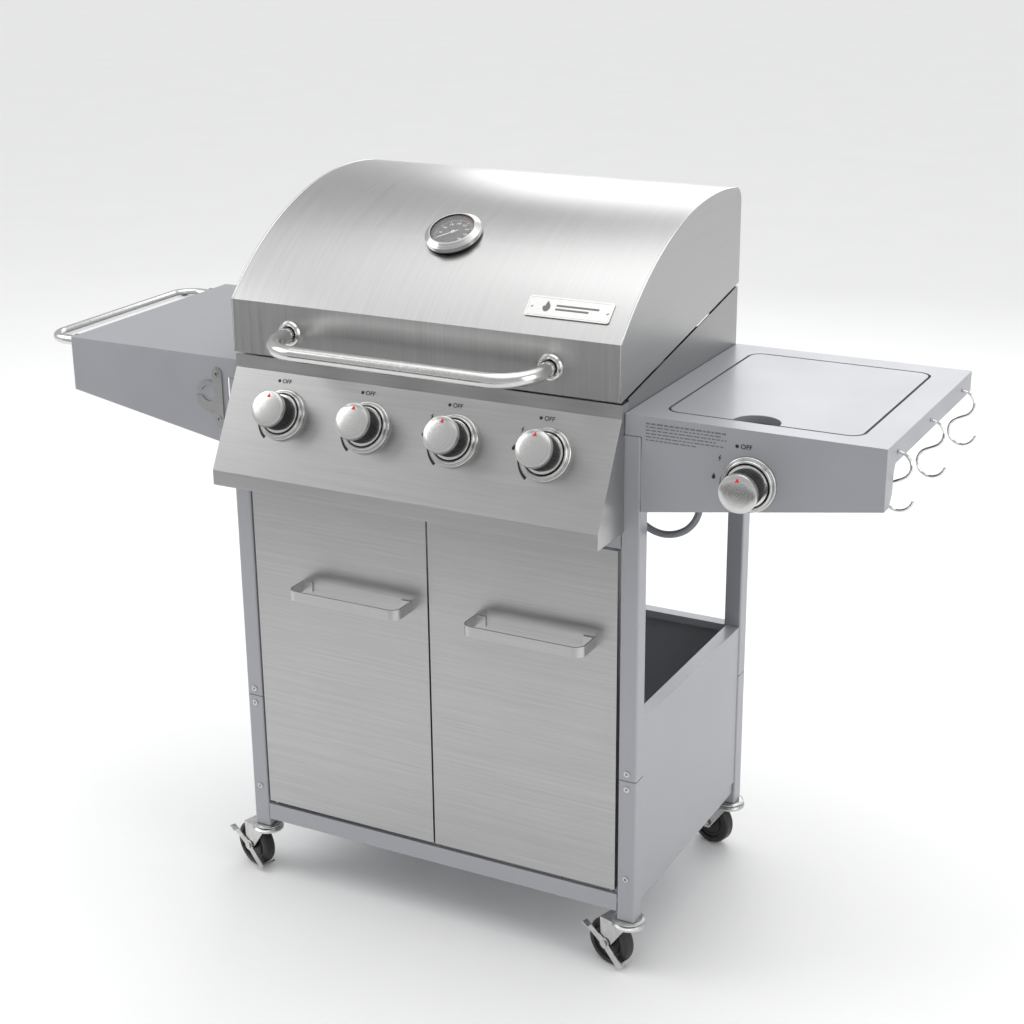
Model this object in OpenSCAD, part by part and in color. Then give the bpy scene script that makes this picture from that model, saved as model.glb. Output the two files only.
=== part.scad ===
// Gas barbecue grill: four burners under a hinged hood, a cabinet on casters and a side burner.
// Millimetres. +X is to the right seen from the front, +Y to the rear, +Z up, floor at z = 0.

/* [Cart] */
// Width over the outer faces of the legs
body_w = 680; // [660:1:700]
// Depth over the front and rear faces of the legs
body_d = 438; // [430:1:446]
// Side of the square leg tube
leg_w = 28; // [26:1:30]
// Height of the leg tops
leg_top = 849; // [845:1:850]
// Height of the joint between the two leg sections
leg_joint = 325; // [280:1:360]

/* [Casters] */
// Wheel radius
wheel_r = 38; // [34:1:38]
// Distance from the swivel axis back to the wheel axle
caster_trail = 34; // [28:1:36]
// Angle at which the casters stand
caster_turn = -17; // [-30:1:30]

/* [Doors] */
// Height of the lower edge of the doors
door_bottom = 140; // [138:1:150]
// Height of the upper edge of the doors
door_top = 679; // [660:1:680]
// Stand-off of the door handles
handle_reach = 46; // [38:1:50]

/* [Hood] */
// Radius of the curved hood skin
hood_r = 467; // [467:1:470]
// Height of the crease above the vertical front face
hood_crease = 977; // [975:1:978]
// Radius of the hood handle tube
handle_r = 11; // [10:0.5:12]

/* [Control panel] */
// Distance between two burner knobs
knob_pitch = 144; // [140:1:146]
// Radius of a knob cap
knob_r = 27; // [25:0.5:28]
// Radius of a knob bezel
bezel_r = 38.5; // [37:0.5:40]

/* [Shelves] */
// Height of the shelf tops
shelf_top = 880; // [880:1:882]
// Outer end of the left shelf, from the middle of the cart
left_reach = 640; // [600:1:642]
// Outer end of the right shelf, from the middle of the cart
right_reach = 680; // [678:1:682]

/* [Hidden] */

$fn = 48;
eps = 0.01;                      // overlap of cutting solids
sheet = 1.5;                     // sheet-metal thickness
fit = 0.05;                      // radial clearance of a running fit
paint = "#8c8e93";
steel = "#b9bbbd";
dark_steel = "#6e7072";
black = "#1c1c1e";
enamel = "#2a2a2c";

leg_x = body_w/2 - leg_w/2;      // leg centres
leg_yf = leg_w/2;
leg_yr = body_d - leg_w/2;
leg_in = body_w/2 - leg_w;       // inner faces of the legs
leg_bottom = 92;
leg_wall = 1.5;
rail_bottom = 105;
floor_z = 134;                   // top of the cabinet floor
panel_top = 412;                 // top of the low side and back panels

// Body of the cooking box
box_x = leg_in - 4;              // half width below the shelves
collar_x = 316;                  // half width of the visible collar and of the hood
box_bottom = 748;
box_yf = 2;
box_yr = 412;
collar_z = 856;
drain = 80;                      // width of the drain gap above the grease tray
rim_front = 893;                 // height of the rim at the front
hood_yf = -12.5;                 // vertical front face of the hood
hood_yr = 416;                   // rear face of the hood
hood_gap = 4;
rim_slope = 78/(hood_yr - hood_yf);
hood_t = 2;
hood_cy = 330;                   // centre of the hood curve
hood_cz = hood_crease - sqrt(hood_r*hood_r - pow(hood_cy - hood_yf, 2));
hood_corner = 24;                // rear corner radius
hinge_y = 424;
hinge_z = 972;
hinge_r = 3;
hinge_x = 230;

// Slope of the control panel, from its upper to its lower edge
pan_yt = -9;
pan_zt = 873;
pan_yb = -84;
pan_zb = 732;
pan_lip = 709;
pan_x = 316;
pan_tilt = atan2(pan_zt - pan_zb, pan_yt - pan_yb);
knob_y = (pan_yt + pan_yb)/2 + 8;
knob_z = pan_zt - (pan_yt - knob_y)*tan(pan_tilt);
knob_x = [-1.5*knob_pitch, -0.5*knob_pitch, 0.5*knob_pitch, 1.5*knob_pitch];
side_knob_x = 497;
side_knob_z = 806;
stem_r = 4;

// Shelves
shelf_in = 316.8;                // inner edge of both shelves
shelf_d = 412;
apron_in = 742;                  // lower edge of the front apron beside the leg
apron_out = 795;                 // lower edge of the front apron at the outer end
apron_side = 850;                // lower edge of the side and rear aprons
corner_y = 34;                   // depth of the deep front corner of the outer end
pan_x1 = 362;                    // side-burner lid
pan_x2 = 632;
pan_y1 = 37;
pan_y2 = 370;
pan_gap = 4;
pan_corner = 18;
side_pin_y = 346;
side_pin_z = 871;
notch_x = 490;
notch_r = 33;
hook_y = [46, 200, 360];
hook_z = 864;
hook_wire = 2;
rail_z = 870;
rail_x = 698;
rail_y1 = 16;
rail_y2 = 370;
rail_r = 8;
rail_bend = 34;

door_gap = 4;                    // gap between a door and a leg
door_edge = leg_in - door_gap;
door_mid = 1.5;                  // half the gap between the doors
door_d = 16;
door_pin_x = leg_in - 12;
door_pin_y = door_d/2;
door_pin_r = 3;

// The origin is the middle of the footprint of the whole grill, between the hood handle in
// front and the rear axle heads
handle_drop = 3;                 // downward tilt of the hood handle, degrees
bar_reach = 86;                  // hood face to the centre of the bar
bar_y = hood_yf - bar_reach*cos(handle_drop);
axle_end = 20.2;                 // middle of the wheel to the end of the axle
axle_head_r = 5.5;
rear_y = leg_yr - caster_trail*sin(caster_turn) + axle_end*cos(caster_turn)
    + axle_head_r*abs(sin(caster_turn));
mid_y = (bar_y - handle_r + rear_y)/2;

module place() translate([0, -mid_y, 0]) children();

// Rounded rectangle, centred
module rounded(w, d, r) {
    square([w - 2*r, d], center = true);
    square([w, d - 2*r], center = true);
    for (sx = [-1, 1], sy = [-1, 1]) translate([sx*(w/2 - r), sy*(d/2 - r)]) circle(r = r);
}

// Extrudes an outline drawn in (Y, Z) along X from x1 to x2
module along_x(x1, x2) translate([x1, 0, 0]) rotate([90, 0, 90]) linear_extrude(x2 - x1) children();

// Extrudes an outline drawn in (X, Z) along Y from y1 to y2
module along_y(y1, y2) translate([0, y2, 0]) rotate([90, 0, 0]) linear_extrude(y2 - y1) children();

module block(x1, x2, y1, y2, z1, z2) translate([x1, y1, z1]) cube([x2 - x1, y2 - y1, z2 - z1]);

// Round bar from a to b, both on a line along X, Y or Z
module bar_x(x1, x2, y, z, r) translate([x1, y, z]) rotate([0, 90, 0]) cylinder(r = r, h = x2 - x1);
module bar_y(x, y1, y2, z, r) translate([x, y1, z]) rotate([-90, 0, 0]) cylinder(r = r, h = y2 - y1);
module bar_z(x, y, z1, z2, r) translate([x, y, z1]) cylinder(r = r, h = z2 - z1);

// ---------- cart ----------

module leg_tube(z1, z2) translate([0, 0, z1]) linear_extrude(z2 - z1) difference() {
    rounded(leg_w, leg_w, 3);
    rounded(leg_w - 2*leg_wall, leg_w - 2*leg_wall, 2);
}

// A leg is two tubes on a common inner sleeve, with a cap on top and a stem socket below
module leg(sx, rear) color(paint) place() translate([sx*leg_x, rear ? leg_yr : leg_yf, 0]) {
    leg_tube(leg_bottom, leg_joint - 0.75);
    leg_tube(leg_joint + 0.75, leg_top - 2);
    translate([0, 0, leg_top - 2]) linear_extrude(2) rounded(leg_w, leg_w, 3);
    sleeve = leg_w - 2*leg_wall - 0.3;
    translate([0, 0, leg_joint - 30]) linear_extrude(60) difference() {
        rounded(sleeve, sleeve, 2);
        rounded(sleeve - 3, sleeve - 3, 1);
    }
    difference() {
        translate([0, 0, leg_bottom]) linear_extrude(34) rounded(sleeve, sleeve, 2);
        translate([0, 0, leg_bottom - 1]) cylinder(r = 5.6, h = 36);
    }
}

// Outline of the cabinet floor, cut round the legs and shrunk by inset
module floor_outline(inset) {
    y1 = 22;
    translate([-leg_in + 1 + inset, y1 + inset]) square([2*(leg_in - 1 - inset), body_d - y1 - 10 - 2*inset]);
    translate([-body_w/2 + 4.5 + inset, leg_w + 1 + inset])
        square([body_w - 9 - 2*inset, body_d - 2*leg_w - 2 - 2*inset]);
}

// Floor of the cabinet, a pan with its edge turned down
module base_shelf() color(paint) place() difference() {
    translate([0, 0, floor_z - 22]) linear_extrude(22) floor_outline(0);
    translate([0, 0, floor_z - 22 - eps]) linear_extrude(22 - sheet) floor_outline(sheet);
}

module kick_rail() color(paint) place() difference() {
    block(-leg_in + 0.5, leg_in - 0.5, 0.5, 21, rail_bottom, floor_z - 1);
    block(-leg_in, leg_in, 2, 22, rail_bottom + sheet, floor_z - 1 - sheet);
    for (s = [-1, 1]) translate([s*door_pin_x, door_pin_y, floor_z - 5]) cylinder(r = door_pin_r, h = 6);
}

module door_header() color(paint) place() difference() {
    union() {
        block(-leg_in + 0.5, leg_in - 0.5, 1, 1 + sheet, door_top + 4, 724);
        block(-leg_in + 0.5, leg_in - 0.5, 1, 24, door_top + 4, door_top + 4 + sheet);
        block(-leg_in + 0.5, leg_in - 0.5, 24 - sheet, 24, door_top + 4, door_top + 22);
    }
    for (s = [-1, 1]) translate([s*door_pin_x, door_pin_y, door_top]) cylinder(r = door_pin_r, h = 8);
}

module side_panels() color(paint) place() for (s = [-1, 1]) {
    y1 = leg_w + 0.5;
    y2 = body_d - leg_w - 0.5;
    outer = body_w/2 - 2;
    scale_x = s > 0 ? 0 : 1;
    mirror([scale_x, 0, 0]) {
        block(outer - sheet, outer, y1, y2, floor_z - 2, panel_top);
        block(outer - 22, outer, y1, y2, panel_top - sheet, panel_top);
        block(outer - 22, outer - 22 + sheet, y1, y2, panel_top - 12, panel_top);
    }
}

module back_panel() color(paint) place() {
    y2 = body_d - 8;
    block(-leg_in + 0.5, leg_in - 0.5, y2 - sheet, y2, floor_z - 20, panel_top);
    block(-leg_in + 0.5, leg_in - 0.5, y2 - 20, y2, panel_top - sheet, panel_top);
    block(-leg_in + 0.5, leg_in - 0.5, y2 - 20, y2 - 20 + sheet, panel_top - 12, panel_top);
}

// Pan-head screw along -Y, with its head on the plane y = 0
module screw_front() {
    rotate([90, 0, 0]) cylinder(r = 4.5, h = 1.8);
    rotate([-90, 0, 0]) cylinder(r = 2, h = 3);
}

module fasteners() color(steel) place() {
    for (s = [-1, 1], z = [leg_joint - 13, leg_joint + 12, 163]) {
        translate([s*leg_x, 0, z]) screw_front();
        translate([s*leg_x, body_d, z]) mirror([0, 1, 0]) screw_front();
    }
    for (s = [-1, 1]) {
        bar_z(s*door_pin_x, door_pin_y, floor_z - 5, door_bottom + 12, door_pin_r - 0.02);
        bar_z(s*door_pin_x, door_pin_y, door_top - 12, door_top + 8, door_pin_r - 0.02);
        bar_x(s*hinge_x - 26, s*hinge_x + 26, hinge_y, hinge_z, hinge_r);
        for (e = [-1, 1]) bar_x(s*hinge_x + e*27 - 1, s*hinge_x + e*27 + 1, hinge_y, hinge_z, hinge_r + 2);
        // Bolts that hold the shelves to the collar
        for (y = [60, 350]) bar_x(s*(collar_x + 1.5) - 4.5, s*(collar_x + 1.5) + 4.5, y, 868, 3);
    }
    // Rivets of the nameplate are on the plate; these screws hold the bottle opener
    for (z = [783, 854]) translate([-359.5, -2.5, z]) screw_front();
}

// ---------- casters ----------

module at_caster(sx, rear) place() translate([sx*leg_x, rear ? leg_yr : leg_yf, 0])
    rotate([0, 0, caster_turn]) children();

module caster_stems() color(steel) for (s = [-1, 1], rear = [false, true]) at_caster(s, rear) {
    bar_z(0, 0, 72, leg_bottom + 33, 5.5);
    translate([0, 0, 71]) cylinder(r = 9, h = 4);
    translate([0, 0, 86.5]) rotate_extrude()
        polygon([[5, 0], [22, 0], [24, 2], [24, 3.4], [20, 4.8], [5, 4.8]]);
}

fork_y = 13;                     // inner faces of the fork cheeks
fork_t = 1.8;

module caster_fork(sx, rear) color(steel) at_caster(sx, rear) {
    difference() {
        union() {
            translate([0, 0, 77.5]) rotate_extrude()
                polygon([[2, 0], [17, 0], [25.5, 2.5], [25.5, 5.5], [22, 8], [19, 5], [9, 4], [2, 4]]);
            block(-45, -8, -fork_y - fork_t, fork_y + fork_t, 77.8, 79.8);
        }
        translate([0, 0, 70]) cylinder(r = 5.5 + fit, h = 30);
    }
    for (s = [-1, 1]) translate([0, s > 0 ? fork_y : -fork_y - fork_t, 0]) along_y(0, fork_t) difference() {
        union() {
            polygon([[-45, 78.5], [6, 78.5], [-caster_trail + 7, 34], [-caster_trail - 8, 36]]);
            translate([-caster_trail, wheel_r]) circle(r = 8.5);
        }
    }
    // Axle with a head at each end
    translate([-caster_trail, 0, wheel_r]) rotate([90, 0, 0]) {
        cylinder(r = 3.5, h = 37, center = true);
        for (s = [-1, 1]) translate([0, 0, s*(axle_end - 1)])
            cylinder(r = axle_head_r, h = 2, center = true);
    }
}

module wheel(sx, rear) color(black) at_caster(sx, rear)
    translate([-caster_trail, 0, wheel_r]) rotate([90, 0, 0]) difference() {
        rotate_extrude($fn = 72) polygon([[3, -11], [9, -11], [9, -7], [27, -7], [28.5, -10.5],
            [33, -10.5], [wheel_r - 1.5, -9], [wheel_r, -6], [wheel_r, 6], [wheel_r - 1.5, 9],
            [33, 10.5], [28.5, 10.5], [27, 7], [9, 7], [9, 11], [3, 11]]);
        cylinder(r = 3.5 + fit, h = 40, center = true);
    }

// Brake lever on the axle: a ring, a toe pad and a shoe that wraps under the tread
module brake(sx) color(steel) at_caster(sx, false) translate([-caster_trail, 0, wheel_r]) {
    y1 = -17.6;
    along_y(y1, y1 + 1.6) difference() {
        union() {
            circle(r = 9);
            rotate(150) translate([6, -6]) square([32, 11]);
            rotate(-42) translate([5, -6]) square([38.6, 12]);
        }
        circle(r = 3.5 + fit);
    }
    rotate([0, -150, 0]) block(34, 45, -26, y1 + 1.6, -5.5, -3.5);
    rotate([0, 42, 0]) block(40.6, 43.6, y1, 8, -6, 6);
}

// ---------- cooking box ----------

function rim_z(y) = rim_front + rim_slope*(y - hood_yf);

seam = 0.1;                      // gap between two plates of the box
wall_x = box_x - sheet - seam;   // half length of its front and rear walls

// The box is riveted from separate plates
module firebox() color(steel) place() difference() {
    union() {
        for (s = [0, 1]) mirror([s, 0, 0]) {
            // Lower side wall, the step above it and the collar
            block(box_x - sheet, box_x, box_yf, box_yr, box_bottom, collar_z - seam);
            block(box_x - sheet, collar_x - sheet - seam, 12.5, box_yr - sheet - seam,
                collar_z, collar_z + sheet);
            along_x(collar_x - sheet, collar_x)
                polygon([[12.5, collar_z], [box_yr, collar_z], [box_yr, rim_z(box_yr)],
                    [12.5, rim_z(12.5)]]);
            // Ledge under the grates
            block(box_x - 24, collar_x - sheet - seam, 12.5, box_yr - sheet - seam, 862, 863.5);
            // Rail of the grease tray: a web and a foot
            block(167, 168.5, 40, box_yr, 722, box_bottom - seam);
            block(158, 167 - seam, 40, box_yr, 722, 723.5);
            // Bottom plate, which leaves a drain gap in the middle
            block(drain/2, box_x - sheet - seam, box_yf + sheet + seam, box_yr - sheet - seam,
                box_bottom, box_bottom + sheet);
        }
        // Front wall, rear wall and rear of the collar
        block(-wall_x, wall_x, box_yf, box_yf + sheet, box_bottom, 888);
        block(-wall_x, wall_x, box_yr - sheet, box_yr, box_bottom, collar_z - seam);
        block(-collar_x + sheet + seam, collar_x - sheet - seam, box_yr - sheet, box_yr,
            collar_z, rim_z(box_yr) - 1);
        // Ledges under the heat tents
        for (y = [box_yf + sheet + seam, box_yr - sheet - seam - 11])
            block(-wall_x, wall_x, y, y + 11, 816, 817.5);
        // Fixed leaves and knuckles of the hood hinge
        for (s = [-1, 1]) {
            block(s*hinge_x - 8.5, s*hinge_x + 8.5, box_yr + seam, box_yr + 1.6, 930, 970);
            block(s*hinge_x - 8.5, s*hinge_x + 8.5, box_yr + seam, hinge_y, 966, 968.5);
            bar_x(s*hinge_x - 8.5, s*hinge_x + 8.5, hinge_y, hinge_z, 6);
        }
    }
    for (s = [-1, 1]) bar_x(s*hinge_x - 10, s*hinge_x + 10, hinge_y, hinge_z, hinge_r + fit);
    for (x = knob_x) bar_y(x, box_yf - 2, box_yf + 2, 790, 21);
    // Exhaust slots in the rear wall
    for (i = [-4:4]) block(i*62 - 24, i*62 + 24, box_yr - 4, box_yr + 0.05, 900, 922);
}

// ---------- control panel ----------

// Frame on the sloped face: +Z points out of the panel
module on_panel(x) place() translate([x, knob_y, knob_z]) rotate([pan_tilt, 0, 0]) children();
module on_apron(x, z) place() translate([x, 0, z]) rotate([90, 0, 0]) children();

// Side outline of the panel, in (Y, Z)
panel_back = 852;                // above this height the ends reach back over the legs
module panel_outline() polygon([[12, rim_front], [pan_yt, rim_front], [pan_yt, pan_zt], [pan_yb, pan_zb],
    [pan_yb, pan_lip], [-1, pan_lip], [-1, panel_back], [12, panel_back]]);

// Space inside the panel, open to the rear and below
module panel_space() polygon([[14, rim_front - sheet], [pan_yt + sheet, rim_front - sheet],
    [pan_yt + sheet, pan_zt - sheet/4], [pan_yb + sheet, pan_zb - sheet/4],
    [pan_yb + sheet, pan_lip + sheet], [pan_yb + 18, pan_lip + sheet], [pan_yb + 18, pan_lip - 1],
    [14, pan_lip - 1]]);

module control_panel() color(steel) difference() {
    place() difference() {
        along_x(-pan_x, pan_x) panel_outline();
        along_x(-pan_x + sheet, pan_x - sheet) panel_space();
    }
    for (x = knob_x) on_panel(x) translate([0, 0, -6]) cylinder(r = 8, h = 10);
}

// Stepped ring round a knob, with a flat floor
module bezel() rotate_extrude($fn = 72) polygon([[8, 0.05], [bezel_r, 0.05], [bezel_r, 4],
    [bezel_r - 2, 5.5], [35, 5.5], [34.2, 9], [32.5, 10], [31, 9], [31, 2], [8, 2]]);

module knob_bezels() color(steel) {
    for (x = knob_x) on_panel(x) bezel();
    on_apron(side_knob_x, side_knob_z) bezel();
}

module knob_shape() difference() {
    rotate_extrude($fn = 72) polygon([[0, 6], [28, 6], [29.5, 7], [29.5, 10.5], [28, 11.5],
        [knob_r - 0.8, 12], [knob_r - 0.8, 38], [knob_r, 38.6], [knob_r, 44], [knob_r - 1.2, 45.6],
        [18, 46.8], [0, 47.4]]);
    translate([0, 0, 5]) cylinder(r = stem_r + fit, h = 25);
}

module knob(i) color(steel) on_panel(knob_x[i]) knob_shape();
module side_knob() color(steel) on_apron(side_knob_x, side_knob_z) knob_shape();

module stem_shape() translate([0, 0, -34]) cylinder(r = stem_r, h = 63.5);
module stem(i) color(steel) on_panel(knob_x[i]) stem_shape();
module side_stem() color(steel) on_apron(side_knob_x, side_knob_z) stem_shape();

// Valve body behind a panel, bored for the stem
module valve() difference() {
    union() {
        translate([0, 0, -40]) cylinder(r = 11, h = 28);
        translate([0, 0, -12.2]) cylinder(r = 9, h = 6);
    }
    translate([0, 0, -38]) cylinder(r = stem_r + 0.2, h = 40);
}

manifold_y = -22;
manifold_z = 772;
drop_x = 285;
hose_z = 736;

module gas_manifold() color(steel) {
    for (x = knob_x) {
        on_panel(x) valve();
        place() {
            bar_z(x, manifold_y, manifold_z, 798, 6);
            // Outlet into the mouth of the burner tube
            bar_y(x, -14, 8, 790, 5);
        }
    }
    place() {
        bar_x(-292, drop_x + 8, manifold_y, manifold_z, 9);
        // Supply inlet: hexagon and threaded stub pointing down
        translate([-280, manifold_y, manifold_z - 18]) cylinder(r = 11, h = 18, $fn = 6);
        bar_z(-280, manifold_y, manifold_z - 42, manifold_z - 17, 7.5);
        // Drop pipe to the side-burner hose
        bar_z(drop_x, manifold_y, hose_z - 7, manifold_z, 7);
        bar_y(drop_x, manifold_y, -8, hose_z, 7);
    }
}

module main_burners() color(dark_steel) place() for (x = knob_x) {
    difference() {
        bar_y(x, 4.5, 384, 790, 17);
        bar_y(x, 3, 382, 790, 15.5);
        for (s = [-1, 1]) block(s > 0 ? x + 10 : x - 20, s > 0 ? x + 20 : x - 10, 60, 370, 789, 791);
    }
    block(x - 14, x + 14, 384, 392, 784, 796);
}

module heat_tents() color(enamel) place() for (x = knob_x) along_y(6, 408)
    translate([x, 818])
        polygon([[-52, 0], [-50, 0], [0, 32], [50, 0], [52, 0], [52, 1.5], [0, 35], [-52, 1.5]]);

// Two cast grates of flat-topped bars
module cooking_grates() color(enamel) place() for (s = [-1, 1]) {
    cx = s*149;
    for (i = [-8:8]) block(cx + i*17 - 4, cx + i*17 + 4, 10, 404, 866, 874);
    for (y = [10, 138, 268, 396]) block(cx - 140, cx + 140, y, y + 8, 863.8, 870);
}

// Wire grid on four posts
module warming_rack() color(steel) place() {
    for (y = [272, 328, 384]) bar_x(-294, 294, y, 990, 2.5);
    for (i = [-14:14]) bar_y(i*20, 272, 384, 992.4, 1.8);
    for (s = [-1, 1], y = [272, 384]) bar_z(s*292, y, 863.8, 990 - 2.5 - seam, 2.5);
}

module grease_tray() color(steel) place() {
    difference() {
        block(-166, 166, 60, 408, 724, 742);
        block(-166 + sheet, 166 - sheet, 60 + sheet, 408 - sheet, 724 + sheet, 743);
    }
    block(-60, 60, 407, 430, 724, 724 + sheet);
    block(-60, 60, 428.5, 430, 724, 734);
}

// ---------- hood ----------

hood_corner_y = hood_yr - hood_corner;
hood_corner_z = hood_cz + sqrt(pow(hood_r - hood_corner, 2) - pow(hood_corner_y - hood_cy, 2));

// Side outline of the hood, drawn in (Y, Z) and shrunk by t all round except at the mouth
module hood_outline(t) difference() {
    union() {
        intersection() {
            translate([hood_cy, hood_cz]) circle(r = hood_r - t, $fn = 240);
            translate([hood_yf + t, 880]) square([hood_corner_y - hood_yf - t, 300]);
        }
        translate([hood_corner_y, hood_corner_z]) circle(r = hood_corner - t);
        translate([hood_corner_y - 2, 880]) square([hood_corner - t + 2, hood_corner_z - 880]);
    }
    translate([0, -1])
        polygon([[-60, 800], [500, 800], [500, rim_z(500) + hood_gap + 1],
            [-60, rim_z(-60) + hood_gap + 1]]);
}

// Frame on the curved skin at the given lean from the vertical: +Z points out of the hood
module on_hood(x, lean) place() translate([x, hood_cy, hood_cz]) rotate([lean, 0, 0])
    translate([0, 0, hood_r]) children();

therm_x = -6;
therm_lean = 27.8;
plate_x = 223;
plate_lean = 41.6;

module lid_shell() color(steel) {
    difference() {
        place() difference() {
            along_x(-collar_x + hood_t, collar_x - hood_t) hood_outline(0);
            along_x(-collar_x, collar_x) hood_outline(hood_t);
        }
        on_hood(therm_x, therm_lean) cylinder(r = 5, h = 20, center = true);
    }
    // Moving leaves of the hinge, with two knuckles each
    place() for (s = [-1, 1]) difference() {
        union() {
            block(s*hinge_x - 24, s*hinge_x + 24, hood_yr + seam, hood_yr + 1.6, 981, 1010);
            for (e = [-1, 1]) {
                x1 = s*hinge_x + (e > 0 ? 9 : -24);
                bar_x(x1, x1 + 15, hinge_y, hinge_z, 5.5);
                along_x(x1, x1 + 15) polygon([[hood_yr + seam, 981], [hood_yr + 1.6, 981],
                    [hinge_y + 4, hinge_z + 3], [hinge_y - 1, hinge_z + 3], [hood_yr + seam, 978.5]]);
            }
        }
        bar_x(s*hinge_x - 30, s*hinge_x + 30, hinge_y, hinge_z, hinge_r + fit);
    }
}

module lid_end_caps() color(steel) place() for (s = [0, 1]) mirror([s, 0, 0])
    along_x(collar_x - hood_t, collar_x) hood_outline(0);

handle_x = 212;
handle_bend = 58;
ferrule_z = 936;

// Quarter of a round tube bent in the XY plane, from +X towards +Y
module bend(radius, r) rotate_extrude(angle = 90) translate([radius, 0]) circle(r = r, $fn = 32);

// Hood handle in its own plane: legs along Y from y = 0, bar at y = -bar_reach
module lid_handle() color(steel) place() translate([0, hood_yf, ferrule_z]) {
    rotate([handle_drop, 0, 0]) {
        bar_x(-handle_x + handle_bend, handle_x - handle_bend, -bar_reach, 0, handle_r);
        for (s = [0, 1]) mirror([s, 0, 0]) {
            bar_y(handle_x, -bar_reach + handle_bend, -0.6, 0, handle_r);
            translate([handle_x - handle_bend, -bar_reach + handle_bend, 0]) rotate([0, 0, -90])
                bend(handle_bend, handle_r);
        }
    }
    for (s = [-1, 1]) translate([s*handle_x, 0, 0]) rotate([90, 0, 0]) rotate_extrude()
        polygon([[12.5, 0.05], [19, 0.05], [19, 5], [17.5, 8], [15, 9], [12.5, 8]]);
}

therm_r = 42;

module thermometer_case() color(steel) on_hood(therm_x, therm_lean) {
    difference() {
        union() {
            rotate_extrude($fn = 72) polygon([[0, 0.05], [37, 0.05], [37, 3.5], [therm_r, 4], [therm_r, 10],
                [35, 15.5], [0, 15.5]]);
            translate([0, 0, -45]) cylinder(r = 3, h = 46);
        }
        translate([0, 0, 7]) cylinder(r = 33, h = 10, $fn = 72);
    }
    translate([0, 0, 6]) cylinder(r = 1.2, h = 4.5);
}

needle_rest = 128;               // the needle rests at the cold end of the scale

module thermometer_needle() color("#c8c8c8") on_hood(therm_x, therm_lean)
    rotate([0, 0, needle_rest]) translate([0, 0, 8.4]) difference() {
        union() {
            cylinder(r = 3.4, h = 1);
            translate([-0.9, -8, 0]) cube([1.8, 33, 1]);
        }
        translate([0, 0, -1]) cylinder(r = 1.2 + fit, h = 3);
    }

module nameplate() color(dark_steel) on_hood(plate_x, plate_lean) {
    translate([0, 0, 0.3]) linear_extrude(1.6) rounded(128, 34, 4);
    for (s = [-1, 1]) translate([s*57, 0, 1.5]) cylinder(r = 2.4, h = 1.6);
}

// ---------- doors ----------

// A door is a shallow steel pan with hinge blocks at its outer corners
module door(s) color(steel) place() mirror([s > 0 ? 0 : 1, 0, 0]) difference() {
    union() {
        difference() {
            block(door_mid, door_edge, 0, door_d, door_bottom, door_top);
            block(door_mid + sheet, door_edge - sheet, sheet, door_d + 1,
                door_bottom + sheet, door_top - sheet);
        }
        for (z = [door_bottom, door_top - 13])
            block(door_pin_x - 7, door_edge - 0.5, 0.5, door_d, z, z + 13);
    }
    for (z = [door_bottom - 1, door_top - 13.5])
        translate([door_pin_x, door_pin_y, z]) cylinder(r = door_pin_r + 0.03, h = 15);
}

handle_zb = 526;
handle_h = 16;
handle_t = 2.6;
handle_l = 194;
handle_round = 16;

// Half of the outline of a strap handle, shrunk by inset
module strap_half(inset) {
    w = handle_l/2 - inset;
    d = handle_reach - inset;
    r = handle_round - inset;
    translate([0, -d]) square([w - r, d]);
    translate([w - r, -d + r]) square([r, d - r]);
    translate([w - r, -d + r]) circle(r = r);
}

// Strap handle: a U of flat steel standing on the door, centred at x
module strap(x) color(steel) place() translate([x, 0, handle_zb]) linear_extrude(handle_h) {
    for (s = [0, 1]) mirror([s, 0]) difference() {
        strap_half(0);
        translate([0, 0.01]) strap_half(handle_t);
        translate([-1, -handle_reach + handle_t]) square([20, handle_reach]);
    }
    // Feet flat against the door
    for (s = [-1, 1]) translate([s*(handle_l/2 - 9), -handle_t/2 - 0.05])
        square([18, handle_t - 0.1], center = true);
}

// ---------- shelves ----------

// Front apron of a shelf whose outer end is at reach
module apron_outline(reach) polygon([[shelf_in, shelf_top], [reach, shelf_top], [reach, apron_out],
    [body_w/2 + 1.5, apron_in], [body_w/2 + 1.5, leg_top + 1], [shelf_in, leg_top + 1]]);

module shelf_body(reach) {
    block(shelf_in, reach, 0, shelf_d, shelf_top - sheet, shelf_top);
    along_y(0, sheet) apron_outline(reach);
    along_x(reach - sheet, reach) polygon([[0, shelf_top], [shelf_d, shelf_top], [shelf_d, apron_side],
        [corner_y + 6, apron_side], [corner_y, 840], [corner_y - 2, 812], [20, apron_out], [0, apron_out]]);
    block(shelf_in, reach, shelf_d - sheet, shelf_d, apron_side, shelf_top);
    block(shelf_in, shelf_in + sheet, 0, shelf_d, 858, shelf_top);
    // Return along the lower edge of the front apron
    along_y(0, 12) polygon([[body_w/2 + 1.5, apron_in], [reach, apron_out], [reach, apron_out + 1.6],
        [body_w/2 + 1.5, apron_in + 1.6]]);
}

module left_shelf() color(paint) place() difference() {
    mirror([1, 0, 0]) shelf_body(left_reach);
    for (y = [rail_y1, rail_y2]) bar_x(-left_reach - 1, -left_reach + 3, y, rail_z, rail_r - 1.9);
}

// Opening of the side burner, grown by g round the lid
module burner_opening(g) translate([(pan_x1 + pan_x2)/2, (pan_y1 + pan_y2)/2])
    rounded(pan_x2 - pan_x1 + 2*g, pan_y2 - pan_y1 + 2*g, pan_corner + g);

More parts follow.
